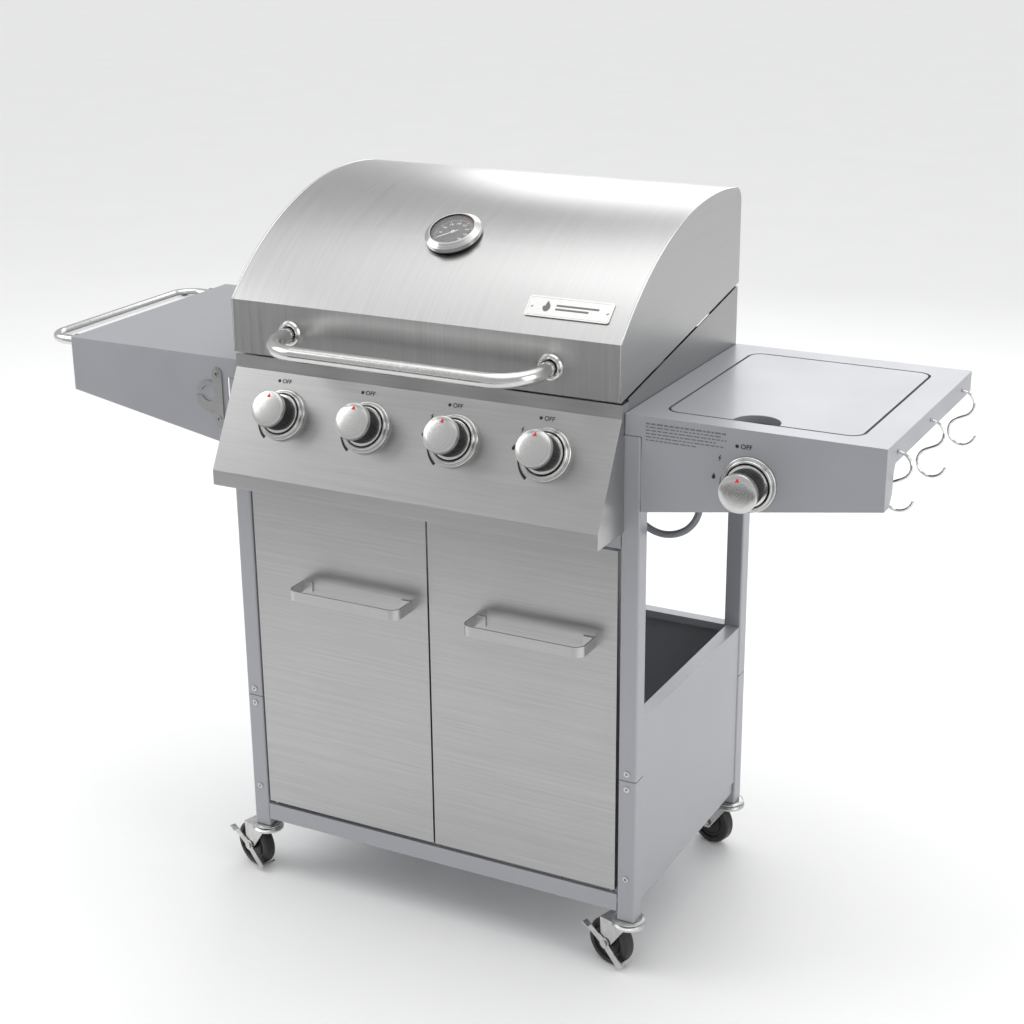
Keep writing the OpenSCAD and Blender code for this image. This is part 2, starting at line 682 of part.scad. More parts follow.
module right_shelf() color(paint) place() difference() {
    union() {
        shelf_body(right_reach);
        // Wall round the opening
        translate([0, 0, shelf_top - 26]) linear_extrude(26) difference() {
            burner_opening(pan_gap + sheet);
            burner_opening(pan_gap);
        }
    }
    translate([0, 0, shelf_top - 40]) linear_extrude(50) burner_opening(pan_gap);
    for (y = hook_y) bar_x(right_reach - 5, right_reach + 5, y, hook_z, 3);
    for (s = [-1, 1]) bar_x(pan_x1 - pan_gap - 3, pan_x2 + pan_gap + 3, side_pin_y, side_pin_z, 2.5 + fit);
    bar_y(side_knob_x, -2, 4, side_knob_z, 8);
}

burner_x = (pan_x1 + pan_x2)/2;
burner_y = 205;

module side_burner() color(dark_steel) {
    place() {
        // Bowl hung under the shelf
        difference() {
            translate([0, 0, 818]) linear_extrude(35.7) burner_opening(pan_gap);
            translate([0, 0, 819.5]) linear_extrude(40) burner_opening(pan_gap - sheet);
            bar_z(burner_x, burner_y, 810, 830, 14);
        }
        // Burner head and throat
        bar_z(burner_x, burner_y, 806, 832, 12);
        translate([burner_x, burner_y, 830]) rotate_extrude()
            polygon([[0, 0], [30, 0], [44, 6], [44, 14], [38, 18], [0, 18]]);
        // Pot support
        for (i = [-2:2]) block(burner_x + i*42 - 2.5, burner_x + i*42 + 2.5, 70, 340, 853, 859);
        for (y = [70, 335]) block(burner_x - 125, burner_x + 125, y, y + 5, 853, 859);
        for (s = [-1, 1], y = [72.5, 337.5]) bar_z(burner_x + s*118, y, 819.5 + seam, 854, 3);
        // Mixing tube from the valve to the burner
        bar_y(burner_x, 40, burner_y, 806, 9);
        // Pipe from the valve to the hose fitting
        bar_x(hose_end_x, side_knob_x - 7, 30, side_knob_z - 2, 5);
        bar_y(hose_end_x, 30, hose_end_y, side_knob_z - 2, 5);
        bar_z(hose_end_x, hose_end_y, hose_end_z, side_knob_z + 2, 7);
    }
    on_apron(side_knob_x, side_knob_z) valve();
}

// Flush lid of the side burner with a turned-down rim, a finger notch and a pin at each rear side
module side_lid() color(paint) place() difference() {
    union() {
        difference() {
            translate([0, 0, shelf_top - 11]) linear_extrude(11) burner_opening(0);
            translate([0, 0, shelf_top - 12]) linear_extrude(12 - sheet) burner_opening(-sheet);
        }
        for (x = [pan_x1 - pan_gap + 0.3 - 1.5, pan_x2 - 2]) bar_x(x, x + 7.2, side_pin_y, side_pin_z, 2.5);
        // Rim of the notch
        intersection() {
            translate([notch_x, pan_y1, shelf_top - 11]) difference() {
                cylinder(r = notch_r + sheet, h = 11);
                translate([0, 0, -1]) cylinder(r = notch_r, h = 13);
            }
            translate([0, 0, shelf_top - 20]) linear_extrude(30) burner_opening(0);
        }
    }
    translate([notch_x, pan_y1, shelf_top - 20]) cylinder(r = notch_r, h = 30);
}

module towel_rail() color(steel) place() {
    for (y = [rail_y1, rail_y2]) {
        bar_x(-rail_x + rail_bend, -left_reach - 0.1, y, rail_z, rail_r);
        bar_x(-left_reach - 4, -left_reach - 0.1, y, rail_z, rail_r + 3);
    }
    bar_y(-rail_x, rail_y1 + rail_bend, rail_y2 - rail_bend, rail_z, rail_r);
    for (q = [[rail_y1 + rail_bend, 180], [rail_y2 - rail_bend, 90]])
        translate([-rail_x + rail_bend, q[0], rail_z]) rotate([0, 0, q[1]]) bend(rail_bend, rail_r);
}

// Flat steel opener: a mounting strip with a claw to its left
module bottle_opener() color(steel) place() along_y(-2.5, -0.1) translate([-359.5, 818]) difference() {
    union() {
        rounded(17, 90, 8);
        translate([-16, 0]) circle(r = 24);
        translate([-36, -14]) square([20, 15]);
    }
    translate([-17, 4]) circle(r = 13);
    translate([-50, -1]) square([30, 9]);
}

// ---------- wire and hose ----------

function unit(v) = v/norm(v);
function heading(route, i) = unit(route[min(i + 1, len(route) - 1)] - route[max(i - 1, 0)]);
// Side vector of each ring, carried along the route so that the tube does not twist
function carry(u, t) = unit(u - (u*t)*t);
function side_at(route, first, i) = i == 0 ? first : carry(side_at(route, first, i - 1), heading(route, i));
function ring(route, r, sides, first, i) =
    let(t = heading(route, i), u = side_at(route, first, i), v = cross(t, u))
    [for (k = [0:sides - 1]) let(a = 360*k/sides) route[i] + r*(cos(a)*u + sin(a)*v)];

// Tube of radius r along a route; first is the side vector of its first ring
module sweep(route, r, sides, first) {
    n = len(route);
    points = [for (i = [0:n - 1]) each ring(route, r, sides, first, i)];
    walls = [for (i = [0:n - 2], k = [0:sides - 1]) let(a = i*sides, b = (k + 1) % sides)
        each [[a + k, a + sides + b, a + b], [a + k, a + sides + k, a + sides + b]]];
    start = [[for (k = [0:sides - 1]) k]];
    finish = [[for (k = [sides - 1:-1:0]) (n - 1)*sides + k]];
    polyhedron(points, concat(start, walls, finish));
}

// S-shaped wire hook in the XZ plane; the wire passes through the origin
hook_c1 = [1.5, -18.94];         // centre of the upper bow
hook_r1 = 19;
hook_c2 = [5.5, -60];            // centre of the lower bow
hook_r2 = 20;
hook_start = 195;                // angle at which the upper bow starts
hook_end = 345;                  // angle at which the lower bow ends
hook_span = norm(hook_c2 - hook_c1);
hook_dir = atan2(hook_c2[1] - hook_c1[1], hook_c2[0] - hook_c1[0]);
hook_beta = acos((hook_r1 + hook_r2)/hook_span);
hook_a1 = hook_dir + hook_beta;
hook_a2 = hook_dir + 180 + hook_beta;
hook_steps = 14;

function bow(c, r, a1, a2) = [for (i = [0:hook_steps]) let(a = a1 + (a2 - a1)*i/hook_steps)
    [c[0] + r*cos(a), 0, c[1] + r*sin(a)]];
hook_route = concat(bow(hook_c1, hook_r1, hook_start, hook_a1), bow(hook_c2, hook_r2, hook_a2, hook_end));

module hook(i) color(steel) place() translate([right_reach - sheet/2, hook_y[i], hook_z])
    sweep(hook_route, hook_wire, 12, [0, 1, 0]);

hose_r = 5;
hose_end_x = 404;
hose_end_y = 60;
hose_end_z = 776;
// Route of the hose: back from the drop pipe, behind the leg and up to the fitting of the side valve
hose_route = [[285, -8, 736], [285, 2, 736], [287.5, 16, 735], [294.5, 29.5, 731],
    [305.5, 40, 722.5], [319, 47, 711.5], [333, 50, 701], [347, 52, 695.5], [361, 53, 695],
    [375, 54.5, 698.5], [387, 56.5, 705.5], [396.5, 58.5, 716.5], [402, 60, 729.5],
    [404, 60, 743.5], [404, 60, 760], [404, 60, 776]];

module side_hose() color(dark_steel) place() sweep(hose_route, hose_r, 10, [1, 0, 0]);

// ---------- drawing ----------

leg(-1, false);  // leg_front_left
leg(1, false);  // leg_front_right
leg(-1, true);  // leg_rear_left
leg(1, true);  // leg_rear_right
base_shelf();
kick_rail();
door_header();
side_panels();
back_panel();
fasteners();
caster_stems();
firebox();
control_panel();
knob_bezels();
gas_manifold();
main_burners();
heat_tents();
cooking_grates();
warming_rack();
grease_tray();
lid_shell();
lid_end_caps();
lid_handle();
thermometer_case();
thermometer_needle();
nameplate();
door(-1);  // door_left
door(1);  // door_right
strap(-125);  // door_handle_left
strap(177);  // door_handle_right
left_shelf();
towel_rail();
bottle_opener();
right_shelf();
side_burner();
side_lid();
side_hose();
hook(0);  // hook_1
hook(1);  // hook_2
hook(2);  // hook_3
knob(0);  // knob_1
knob(1);  // knob_2
knob(2);  // knob_3
knob(3);  // knob_4
side_knob();
stem(0);  // stem_1
stem(1);  // stem_2
stem(2);  // stem_3
stem(3);  // stem_4
side_stem();
caster_fork(-1, false);  // caster_fork_front_left
caster_fork(1, false);  // caster_fork_front_right
caster_fork(-1, true);  // caster_fork_rear_left
caster_fork(1, true);  // caster_fork_rear_right
wheel(-1, false);  // wheel_front_left
wheel(1, false);  // wheel_front_right
wheel(-1, true);  // wheel_rear_left
wheel(1, true);  // wheel_rear_right
brake(-1);  // brake_front_left
brake(1);  // brake_front_right
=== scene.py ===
import bpy, math, random
from mathutils import Matrix, Vector


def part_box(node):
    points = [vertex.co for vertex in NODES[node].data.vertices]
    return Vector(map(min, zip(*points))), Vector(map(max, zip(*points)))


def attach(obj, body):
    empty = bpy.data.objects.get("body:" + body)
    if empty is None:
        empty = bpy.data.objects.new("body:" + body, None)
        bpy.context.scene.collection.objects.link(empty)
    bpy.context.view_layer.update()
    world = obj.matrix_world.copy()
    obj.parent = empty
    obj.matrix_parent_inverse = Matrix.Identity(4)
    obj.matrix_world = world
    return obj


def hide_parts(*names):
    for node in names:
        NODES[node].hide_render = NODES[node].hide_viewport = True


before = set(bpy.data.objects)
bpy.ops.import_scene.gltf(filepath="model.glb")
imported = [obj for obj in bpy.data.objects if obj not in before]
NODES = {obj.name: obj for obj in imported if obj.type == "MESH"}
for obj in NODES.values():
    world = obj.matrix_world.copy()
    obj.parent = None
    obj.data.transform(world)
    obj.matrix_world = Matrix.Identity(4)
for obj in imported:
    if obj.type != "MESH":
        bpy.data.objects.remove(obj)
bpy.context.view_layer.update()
random.seed(11)
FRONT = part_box("leg_front_left")[0][1]      # row y of the legs' front faces
PI = math.pi
LEG_X = 326                                 # legs, screws and casters, in mm from the middle of the cart
LEG_FRONT_Y, LEG_REAR_Y = 14, 424


def P(x, y, z):
    """A point given in mm from the middle of the cart, its front face and the floor."""
    return Vector((x / 1000, FRONT + y / 1000, z / 1000))


# ---------------------------------------------------------------- camera
CAMERA_PLACE = (1301.7, -2198.4, 1605.7)
CAMERA_ANGLES = (27.808, 19.802, -0.566)    # yaw, pitch and roll in degrees
LENS, SENSOR = 65.35, 36


def make_camera():
    yaw, pitch, roll = (math.radians(a) for a in CAMERA_ANGLES)
    look = Vector((-math.sin(yaw) * math.cos(pitch), math.cos(yaw) * math.cos(pitch), -math.sin(pitch)))
    right = Vector((math.cos(yaw), math.sin(yaw), 0))
    up = right.cross(look)
    side = right * math.cos(roll) + up * math.sin(roll)
    top = -right * math.sin(roll) + up * math.cos(roll)
    data = bpy.data.cameras.new("camera")
    data.sensor_width = SENSOR
    data.lens = LENS
    data.clip_end = 120
    cam = bpy.data.objects.new("camera", data)
    bpy.context.scene.collection.objects.link(cam)
    place = P(*CAMERA_PLACE)
    cam.matrix_world = Matrix(((side.x, top.x, -look.x, place.x), (side.y, top.y, -look.y, place.y),
                               (side.z, top.z, -look.z, place.z), (0, 0, 0, 1)))
    bpy.context.scene.camera = cam


make_camera()


# ---------------------------------------------------------------- materials
class Nodes:
    """A material's node tree, with short calls to add and join nodes."""

    def __init__(self, name):
        self.mat = bpy.data.materials.new(name)
        self.mat.use_nodes = True
        self.tree = self.mat.node_tree
        self.shader = self.tree.nodes["Principled BSDF"]
        self.coord = self.add("ShaderNodeTexCoord")

    def add(self, kind, **values):
        node = self.tree.nodes.new(kind)
        for key, value in values.items():
            setattr(node, key, value)
        return node

    def join(self, a, b):
        self.tree.links.new(a, b)

    def set(self, **values):
        names = {"base": "Base Color", "rough": "Roughness", "metal": "Metallic", "coat": "Coat Weight",
                 "coat_rough": "Coat Roughness", "spec": "Specular IOR Level", "alpha": "Alpha"}
        for key, value in values.items():
            self.shader.inputs[names[key]].default_value = value

    def noise(self, scale, stretch=(1, 1, 1), detail=4, rough=0.55):
        m = self.add("ShaderNodeMapping")
        m.inputs["Scale"].default_value = stretch
        self.join(self.coord.outputs["Object"], m.inputs["Vector"])
        n = self.add("ShaderNodeTexNoise")
        n.inputs["Scale"].default_value = scale
        n.inputs["Detail"].default_value = detail
        n.inputs["Roughness"].default_value = rough
        self.join(m.outputs[0], n.inputs["Vector"])
        return n.outputs["Fac"]

    def spread(self, fac, low, high, start=0.3, end=0.7):
        m = self.add("ShaderNodeMapRange")
        m.inputs["From Min"].default_value = start
        m.inputs["From Max"].default_value = end
        m.inputs["To Min"].default_value = low
        m.inputs["To Max"].default_value = high
        self.join(fac, m.inputs["Value"])
        return m.outputs["Result"]

    def ramp(self, fac, dark, light, start=0.3, end=0.7):
        r = self.add("ShaderNodeValToRGB")
        r.color_ramp.elements[0].position = start
        r.color_ramp.elements[1].position = end
        r.color_ramp.elements[0].color = (*dark, 1)
        r.color_ramp.elements[1].color = (*light, 1)
        self.join(fac, r.inputs["Fac"])
        return r.outputs["Color"]

    def math(self, kind, a, b):
        m = self.add("ShaderNodeMath", operation=kind)
        for i, v in enumerate((a, b)):
            if isinstance(v, (int, float)):
                m.inputs[i].default_value = v
            else:
                self.join(v, m.inputs[i])
        return m.outputs[0]

    def bump(self, height, strength, distance):
        b = self.add("ShaderNodeBump")
        b.inputs["Strength"].default_value = strength
        b.inputs["Distance"].default_value = distance
        self.join(height, b.inputs["Height"])
        self.join(b.outputs[0], self.shader.inputs["Normal"])


def scaled(colour, k):
    return tuple(min(1, c * k) for c in colour)


def brushed(name, colour, stretch, rough=0.3, depth=0.12, contrast=0.1, smudge=0.05):
    """Brushed metal whose lines run where stretch is small, with faint smudges in the gloss."""
    n = Nodes(name)
    n.set(metal=1.0)
    start, end, share = 0.36, 0.64, 0.62    # used range of the lines' value, and the fine lines' share in it
    fine = n.noise(1, stretch, 3, 0.7)
    broad = n.noise(1, tuple(s * 0.22 for s in stretch), 3, 0.6)
    hand = n.noise(5, (1, 1, 1), 5, 0.6)
    lines = n.math("ADD", n.math("MULTIPLY", fine, share), n.math("MULTIPLY", broad, 1 - share))
    n.join(n.ramp(lines, scaled(colour, 1 - contrast), scaled(colour, 1 + contrast * 0.7), start, end),
           n.shader.inputs["Base Color"])
    mix = n.math("ADD", n.spread(lines, rough - 0.03, rough + 0.04, start, end), n.spread(hand, -smudge, smudge))
    n.join(mix, n.shader.inputs["Roughness"])
    n.bump(lines, depth, 0.0004)
    return n.mat


def coated(name, colour, rough, metal=0.0, grain=900.0, depth=0.06, wear=0.06, coat=0.0):
    """Paint, enamel, rubber or plastic with a fine skin texture and faint uneven gloss."""
    n = Nodes(name)
    n.set(metal=metal, coat=coat, coat_rough=0.12)
    skin = n.noise(grain, (1, 1, 1), 2, 0.5)
    patch = n.noise(7, (1, 1, 1), 5, 0.6)
    n.join(n.ramp(patch, scaled(colour, 1 - wear), scaled(colour, 1 + wear)), n.shader.inputs["Base Color"])
    n.join(n.spread(patch, rough - 0.05, rough + 0.06), n.shader.inputs["Roughness"])
    n.bump(skin, depth, 0.0003)
    return n.mat


def turned(name, colour, centre, axis, rough=0.22):
    """Metal turned on a lathe: rings round the given axis."""
    n = Nodes(name)
    n.set(metal=1.0)
    m = n.add("ShaderNodeMapping", vector_type="POINT")
    turn = Vector(axis).rotation_difference(Vector((0, 0, 1))).to_euler()
    shift = -(turn.to_matrix() @ Vector(centre))
    m.inputs["Rotation"].default_value = turn
    m.inputs["Location"].default_value = shift
    n.join(n.coord.outputs["Object"], m.inputs["Vector"])
    flat = n.add("ShaderNodeVectorMath", operation="MULTIPLY")
    flat.inputs[1].default_value = (1, 1, 0)
    n.join(m.outputs[0], flat.inputs[0])
    length = n.add("ShaderNodeVectorMath", operation="LENGTH")
    n.join(flat.outputs[0], length.inputs[0])
    tex = n.add("ShaderNodeTexNoise", noise_dimensions="1D")
    tex.inputs["Scale"].default_value = 1500
    tex.inputs["Detail"].default_value = 3
    n.join(length.outputs["Value"], tex.inputs["W"])
    n.join(n.ramp(tex.outputs["Fac"], scaled(colour, 0.84), scaled(colour, 1.08)), n.shader.inputs["Base Color"])
    n.join(n.spread(tex.outputs["Fac"], rough - 0.06, rough + 0.1), n.shader.inputs["Roughness"])
    n.bump(tex.outputs["Fac"], 0.14, 0.0003)
    return n.mat


def braided(name):
    """Braided metal sleeve: two sets of slanted strands from the waves of the tube's own coordinates."""
    n = Nodes(name)
    n.set(metal=0.85)
    weave = []
    for sign in (1, -1):
        m = n.add("ShaderNodeMapping")
        m.inputs["Rotation"].default_value = (0, 0, sign * 0.75)
        m.inputs["Scale"].default_value = (110, 14, 1)
        n.join(n.coord.outputs["UV"], m.inputs["Vector"])
        w = n.add("ShaderNodeTexWave", wave_type="BANDS", bands_direction="X")
        w.inputs["Scale"].default_value = 1.0
        w.inputs["Distortion"].default_value = 0.4
        n.join(m.outputs[0], w.inputs["Vector"])
        weave.append(w.outputs["Fac"])
    both = n.math("MAXIMUM", weave[0], weave[1])
    n.join(n.ramp(both, (0.08, 0.085, 0.1), (0.34, 0.35, 0.38), 0.2, 0.9), n.shader.inputs["Base Color"])
    n.join(n.spread(both, 0.5, 0.3, 0, 1), n.shader.inputs["Roughness"])
    n.bump(both, 0.7, 0.0006)
    return n.mat


STEEL = (0.52, 0.52, 0.516)
M = {
    "hood": brushed("hood_steel", STEEL, (1500, 14, 14), 0.31, 0.006, 0.075, 0.015),
    "caps": brushed("cap_steel", STEEL, (9, 14, 1500), 0.33, 0.006, 0.06, 0.02),
    "sheet": brushed("sheet_steel", (0.5, 0.5, 0.496), (14, 1500, 1500), 0.34, 0.008, 0.075, 0.02),
    "door": brushed("door_steel", (0.455, 0.455, 0.452), (9, 1100, 1100), 0.32, 0.012, 0.13, 0.03),
    "box": brushed("box_steel", (0.42, 0.42, 0.42), (9, 1100, 1100), 0.36, 0.04, 0.08),
    "satin": brushed("satin_steel", (0.64, 0.64, 0.63), (260, 260, 260), 0.22, 0.05, 0.06),
    "chrome": brushed("bright_wire", (0.72, 0.72, 0.71), (150, 150, 150), 0.14, 0.03, 0.05),
    "zinc": brushed("zinc_plate", (0.62, 0.62, 0.61), (90, 90, 90), 0.27, 0.08, 0.14),
    "heat": brushed("heat_tinted_steel", (0.33, 0.31, 0.29), (40, 30, 60), 0.42, 0.12, 0.3),
    "paint": coated("grey_paint", (0.355, 0.363, 0.388), 0.36, 0.2, 2600, 0.012, 0.02, 0.15),
    "inside": coated("dark_gap", (0.03, 0.03, 0.032), 0.6),
    "iron": coated("grate_enamel", (0.022, 0.022, 0.023), 0.42, 0.0, 260, 0.35, 0.3),
    "black": coated("black_plastic", (0.016, 0.016, 0.017), 0.34, 0.0, 800, 0.08, 0.2),
    "tyre": coated("wheel_black", (0.014, 0.014, 0.015), 0.38, 0.0, 500, 0.12, 0.35),
    # Black for print, also used as painted shade on the screw recesses and the flame-port openings
    "ink": coated("black_print_and_hole_shade", (0.012, 0.012, 0.012), 0.5, 0.0, 600, 0.02, 0.1),
    "grey_ink": coated("grey_print", (0.16, 0.16, 0.17), 0.55, 0.0, 600, 0.02, 0.1),
    "red": coated("red_mark", (0.75, 0.012, 0.015), 0.4, 0.0, 600, 0.02, 0.05),
    "white": coated("white_print", (0.75, 0.75, 0.73), 0.5, 0.0, 600, 0.02, 0.03),
    "dial": coated("dial_black", (0.035, 0.035, 0.037), 0.45, 0.0, 700, 0.04, 0.1),
    "brass": brushed("machined_brass", (0.62, 0.45, 0.19), (160, 160, 160), 0.3, 0.08, 0.14),
    "ceramic": coated("white_ceramic", (0.72, 0.7, 0.66), 0.25, 0.0, 300, 0.03, 0.05),
    "braid": braided("hose_braid"),
}


def glass():
    n = Nodes("gauge_glass")
    n.set(rough=0.04, alpha=0.12, base=(0.9, 0.9, 0.9, 1), coat=0.3, coat_rough=0.05)
    speck = n.noise(300, (1, 1, 1), 3)
    n.join(n.spread(speck, 0.02, 0.07), n.shader.inputs["Roughness"])
    n.mat.surface_render_method = "BLENDED"
    return n.mat


M["glass"] = glass()


# ---------------------------------------------------------------- makers of pieces
def finish_piece(obj, mat, body):
    obj.data.materials.append(mat)
    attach(obj, body)
    return obj


def add_bevel(obj, width, angle):
    """Rounds the edges sharper than the angle in degrees; the width is in mm."""
    b = obj.modifiers.new("bevel", "BEVEL")
    b.width = width / 1000
    b.segments = 2
    b.limit_method = "ANGLE"
    b.angle_limit = math.radians(angle)
    b.harden_normals = True


def mesh(name, verts, faces, mat, body, at=Matrix(), smooth=35, bevel=0.0):
    """A mesh from points in mm in the local frame `at`."""
    data = bpy.data.meshes.new(name)
    data.from_pydata([Vector(v) / 1000 for v in verts], [], faces)
    data.update()
    data.transform(at)
    obj = bpy.data.objects.new(name, data)
    bpy.context.scene.collection.objects.link(obj)
    if smooth:
        data.polygons.foreach_set("use_smooth", [True] * len(data.polygons))
        data.set_sharp_from_angle(angle=math.radians(smooth))
    if bevel:
        add_bevel(obj, bevel, 40)
    return finish_piece(obj, mat, body)


def ring_mesh(rings, close_ends=True, loop=False):
    """Faces that join rings of equal length; `loop` also joins the last ring to the first."""
    n = len(rings[0])
    verts = [v for r in rings for v in r]
    faces = []
    last = len(rings) if loop else len(rings) - 1
    for i in range(last):
        a, b = i * n, ((i + 1) % len(rings)) * n
        for k in range(n):
            j = (k + 1) % n
            faces.append((a + k, a + j, b + j, b + k))
    if close_ends and not loop:
        faces.append(tuple(reversed(range(n))))
        faces.append(tuple(range((len(rings) - 1) * n, len(rings) * n)))
    return verts, faces


def lathe(name, profile, mat, body, at, n=72, smooth=35, loop=False):
    """Profile of (radius, height) pairs turned round local Z, from the lower to the upper end."""
    rings = [[(max(r, 0.02) * math.cos(2 * PI * k / n), max(r, 0.02) * math.sin(2 * PI * k / n), z)
              for k in range(n)] for r, z in profile]
    v, f = ring_mesh(rings, not loop, loop)
    return mesh(name, v, f, mat, body, at, smooth)


def prism(name, outlines, z1, z2, mat, body, at, bevel=0.0):
    """One or more flat outlines (lists of x, y) raised from z1 to z2."""
    verts, faces = [], []
    for outline in outlines:
        n, o = len(outline), len(verts)
        verts += [(x, y, z1) for x, y in outline] + [(x, y, z2) for x, y in outline]
        faces.append(tuple(o + i for i in reversed(range(n))))
        faces.append(tuple(o + n + i for i in range(n)))
        for i in range(n):
            j = (i + 1) % n
            faces.append((o + i, o + j, o + n + j, o + n + i))
    return mesh(name, verts, faces, mat, body, at, 0, bevel)


PRINT_DEPTH = 0.00012


def lettering(name, words, size, mat, body, at, align="LEFT"):
    """Raised print made with the built-in font."""
    curve = bpy.data.curves.new(name, "FONT")
    curve.body = words
    curve.size = size / 1000
    curve.align_x = align
    curve.align_y = "CENTER"
    curve.extrude = curve.offset = PRINT_DEPTH
    obj = bpy.data.objects.new(name, curve)
    bpy.context.scene.collection.objects.link(obj)
    obj.matrix_world = at
    return finish_piece(obj, mat, body)


def tube(name, points, radius, mat, body):
    """A round rod along points in mm of the cart frame."""
    curve = bpy.data.curves.new(name, "CURVE")
    curve.dimensions = "3D"
    curve.bevel_depth = radius / 1000
    curve.bevel_resolution = 6
    curve.use_fill_caps = True
    s = curve.splines.new("POLY")
    s.points.add(len(points) - 1)
    for p, q in zip(s.points, points):
        p.co = (*P(*q), 1)
    s.use_smooth = True
    obj = bpy.data.objects.new(name, curve)
    bpy.context.scene.collection.objects.link(obj)
    return finish_piece(obj, mat, body)


def local_frame(origin, z_axis, x_axis=(1, 0, 0)):
    """Matrix of a frame at a point in metres, with the given axes."""
    z = Vector(z_axis).normalized()
    x = Vector(x_axis)
    x = (x - z * x.dot(z)).normalized()
    y = z.cross(x)
    return Matrix(((x.x, y.x, z.x, origin.x), (x.y, y.y, z.y, origin.y), (x.z, y.z, z.z, origin.z), (0, 0, 0, 1)))


def shift(at, x, y, z=0, spin=0):
    return at @ Matrix.Translation(Vector((x, y, z)) / 1000) @ Matrix.Rotation(spin, 4, "Z")


# ---------------------------------------------------------------- hose of the side burner
ROUTE = [(285, -8, 736), (285, 2, 736), (287.5, 16, 735), (294.5, 29.5, 731), (305.5, 40, 722.5),
         (319, 47, 711.5), (333, 50, 701), (347, 52, 695.5), (361, 53, 695), (375, 54.5, 698.5), (387, 56.5, 705.5),
         (396.5, 58.5, 716.5), (402, 60, 729.5), (404, 60, 743.5), (404, 60, 760), (404, 60, 776)]
HOSE_R = 5.0
UV_LENGTH = 220                             # mm of hose to one unit of the braid's pattern


def catmull(points, steps):
    """Points on a smooth line through the given ones."""
    pts = [Vector(p) for p in points]
    pts = [pts[0] * 2 - pts[1]] + pts + [pts[-1] * 2 - pts[-2]]
    out = []
    for i in range(1, len(pts) - 2):
        a, b, c, d = pts[i - 1:i + 3]
        for k in range(steps):
            t = k / steps
            out.append(0.5 * (2 * b + (c - a) * t + (2 * a - 5 * b + 4 * c - d) * t * t
                              + (3 * b - a - 3 * c + d) * t ** 3))
    out.append(pts[-2])
    return out


def make_hose():
    path = catmull(ROUTE, 6)
    sides = 20
    side = Vector((1, 0, 0))
    rings, along, run = [], [0.0], 0.0
    for i, p in enumerate(path):
        d = (path[min(i + 1, len(path) - 1)] - path[max(i - 1, 0)]).normalized()
        side = (side - d * side.dot(d)).normalized()
        up = d.cross(side)
        rings.append([p + HOSE_R * (math.cos(2 * PI * k / sides) * side + math.sin(2 * PI * k / sides) * up)
                      for k in range(sides)])
        if i:
            run += (p - path[i - 1]).length
            along.append(run)
    verts, faces = ring_mesh(rings)
    data = bpy.data.meshes.new("side_burner_hose")
    data.from_pydata([P(*v) for v in verts], [], faces)
    data.update()
    uv = data.uv_layers.new(name="UVMap")
    for poly in data.polygons:
        for li in poly.loop_indices:
            vi = data.loops[li].vertex_index
            k, ring = vi % sides, vi // sides
            seam = len(poly.vertices) == 4 and {v % sides for v in poly.vertices} == {0, sides - 1}
            uv.data[li].uv = (along[ring] / UV_LENGTH, 1.0 if seam and k == 0 else k / sides)
        poly.use_smooth = len(poly.vertices) == 4
    obj = bpy.data.objects.new("side_burner_hose", data)
    bpy.context.scene.collection.objects.link(obj)
    finish_piece(obj, M["braid"], "cart")
    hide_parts("side_hose")


make_hose()

# ---------------------------------------------------------------- CAD nodes: materials and edges
CORNERS = ("front_left", "front_right", "rear_left", "rear_right")
LOOK = {
    "paint": [f"leg_{c}" for c in CORNERS] + ["base_shelf", "kick_rail", "door_header", "side_panels", "back_panel",
                                              "left_shelf", "right_shelf", "side_lid"],
    "zinc": ["fasteners", "caster_stems"] + [f"caster_fork_{c}" for c in CORNERS]
            + ["brake_front_left", "brake_front_right", "stem_1", "stem_2", "stem_3", "stem_4", "side_stem"],
    "box": ["firebox", "grease_tray"],
    "sheet": ["control_panel", "door_handle_left", "door_handle_right", "bottle_opener"],
    "brass": ["gas_manifold"],
    "heat": ["main_burners", "side_burner"],
    "iron": ["heat_tents", "cooking_grates"],
    "chrome": ["warming_rack", "hook_1", "hook_2", "hook_3"],
    "hood": ["lid_shell"],
    "caps": ["lid_end_caps"],
    "satin": ["lid_handle", "towel_rail", "nameplate"],
    "door": ["door_left", "door_right"],
    "white": ["thermometer_needle"],
    "tyre": [f"wheel_{c}" for c in CORNERS],
}
# Bevel widths in mm
EDGE = {"door_left": 1.2, "door_right": 1.2, "control_panel": 1.0, "lid_shell": 0.6, "left_shelf": 0.7,
        "right_shelf": 0.7, "side_lid": 0.6, "kick_rail": 0.7, "side_panels": 0.6, "back_panel": 0.6,
        "cooking_grates": 0.9, "door_handle_left": 0.5, "door_handle_right": 0.5, "bottle_opener": 0.4}


def dress(name, mat):
    obj = NODES[name]
    obj.data.materials.clear()
    obj.data.materials.append(mat)
    obj.data.polygons.foreach_set("use_smooth", [True] * len(obj.data.polygons))
    obj.data.set_sharp_from_angle(angle=math.radians(32))
    if name in EDGE:
        add_bevel(obj, EDGE[name], 50)


for look, names in LOOK.items():
    for node in names:
        dress(node, M[look])

# ---------------------------------------------------------------- control panel frames
SLOPE_TOP, SLOPE_FOOT = P(0, -9, 873), P(0, -84, 732)
PANEL_UP = (SLOPE_TOP - SLOPE_FOOT).normalized()
PANEL_OUT = Vector((0, -PANEL_UP.z, PANEL_UP.y))
KNOB_X = (-216, -72, 72, 216)
KNOB_Y = -38.5


def panel_frame(x):
    t = (P(0, KNOB_Y, 0).y - SLOPE_FOOT.y) / PANEL_UP.y
    base = SLOPE_FOOT + PANEL_UP * t
    return local_frame(Vector((x / 1000, base.y, base.z)), PANEL_OUT)


SIDE_KNOB = local_frame(P(497, 0, 806), (0, -1, 0))


